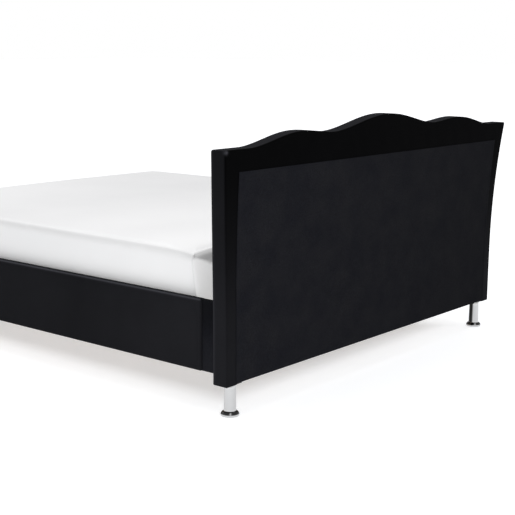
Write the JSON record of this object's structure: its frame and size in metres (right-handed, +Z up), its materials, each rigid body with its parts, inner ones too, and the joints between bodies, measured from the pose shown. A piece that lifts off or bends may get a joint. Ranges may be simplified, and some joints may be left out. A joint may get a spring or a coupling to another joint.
{
  "type": "upholstered bed",
  "caption": "Double bed with a scalloped, backward-curving upholstered headboard, padded side rails, low footboard, slatted base, chrome legs and a mattress in a white fitted sheet.",
  "frame": {"origin": "on the floor at the centre of the bed's outer box", "axes": "+Z up, +Y from the footboard to the headboard, +X to the right of a person standing at the footboard and facing the headboard"},
  "size_m": [1.962, 2.3071, 1.046],
  "materials": {
    "velvet": "short black pile, soft sheen at the edges",
    "lining": "matt black non-woven cloth, slightly mottled",
    "pine": "sawn, unfinished",
    "board": "pressed board, unfinished",
    "foam": "open-cell foam",
    "beech": "laminated, clear lacquer",
    "black_plastic": "moulded, fine texture",
    "black_steel": "black powder coat",
    "zinc_steel": "zinc plated",
    "chrome": "polished",
    "pocket_fabric": "non-woven",
    "cotton": "plain white cotton, soft folds"
  },
  "bodies": {
    "frame": {"headboard_posts": "pine", "headboard_bottom_rail": "pine", "headboard_middle_rail": "pine", "headboard_uprights": "pine", "headboard_top_board": "pine", "headboard_front_board": "board", "headboard_filler_board": "board", "headboard_foam": "foam", "headboard_cover": "velvet", "headboard_dust_cover": "lining", "headboard_buttons": "velvet", "footboard_posts": "pine", "footboard_rails": "pine", "footboard_foam": "foam", "footboard_cover": "velvet", "left_rail_board": "board", "right_rail_board": "board", "left_rail_foam": "foam", "right_rail_foam": "foam", "left_rail_cover": "velvet", "right_rail_cover": "velvet", "left_rail_end_wrap": "lining", "right_rail_end_wrap": "lining", "left_slat_ledge": "pine", "right_slat_ledge": "pine", "left_slats": "beech", "right_slats": "beech", "left_slat_caps": "black_plastic", "right_slat_caps": "black_plastic", "centre_slat_caps": "black_plastic", "head_rail_brackets": "black_steel", "foot_rail_brackets": "black_steel", "head_bracket_bolts": "zinc_steel", "foot_bracket_bolts": "zinc_steel", "rail_bracket_bolts": "zinc_steel", "centre_beam": "black_steel", "beam_hangers": "black_steel", "beam_end_plugs": "black_plastic", "support_legs": "black_steel", "rear_left_leg": "chrome", "rear_right_leg": "chrome", "front_left_leg": "chrome", "front_right_leg": "chrome", "leg_plates": "black_steel", "leg_screws": "zinc_steel", "leg_nut_inserts": "black_plastic"},
    "mattress": {"mattress_base_layer": "foam", "mattress_border": "foam", "mattress_springs": "pocket_fabric", "mattress_top_layer": "foam", "fitted_sheet": "cotton"},
    "rear_left_foot": {"rear_left_foot": "chrome"},
    "rear_right_foot": {"rear_right_foot": "chrome"},
    "front_left_foot": {"front_left_foot": "chrome"},
    "front_right_foot": {"front_right_foot": "chrome"},
    "front_support_foot": {"front_support_foot": "black_plastic"},
    "middle_support_foot": {"middle_support_foot": "black_plastic"},
    "rear_support_foot": {"rear_support_foot": "black_plastic"}
  },
  "joints": [
    {"name": "mattress_lift", "type": "slide", "parent": "frame", "child": "mattress", "axis": [0, 0, 1], "range_m": [0, 0.35]},
    {"name": "rear_left_foot_screw", "type": "slide", "parent": "frame", "child": "rear_left_foot", "axis": [0, 0, -1], "range_m": [0, 0.012]},
    {"name": "rear_right_foot_screw", "type": "slide", "parent": "frame", "child": "rear_right_foot", "axis": [0, 0, -1], "range_m": [0, 0.012]},
    {"name": "front_left_foot_screw", "type": "slide", "parent": "frame", "child": "front_left_foot", "axis": [0, 0, -1], "range_m": [0, 0.012]},
    {"name": "front_right_foot_screw", "type": "slide", "parent": "frame", "child": "front_right_foot", "axis": [0, 0, -1], "range_m": [0, 0.012]},
    {"name": "front_support_foot_screw", "type": "slide", "parent": "frame", "child": "front_support_foot", "axis": [0, 0, -1], "range_m": [0, 0.015]},
    {"name": "middle_support_foot_screw", "type": "slide", "parent": "frame", "child": "middle_support_foot", "axis": [0, 0, -1], "range_m": [0, 0.015]},
    {"name": "rear_support_foot_screw", "type": "slide", "parent": "frame", "child": "rear_support_foot", "axis": [0, 0, -1], "range_m": [0, 0.015]}
  ]
}
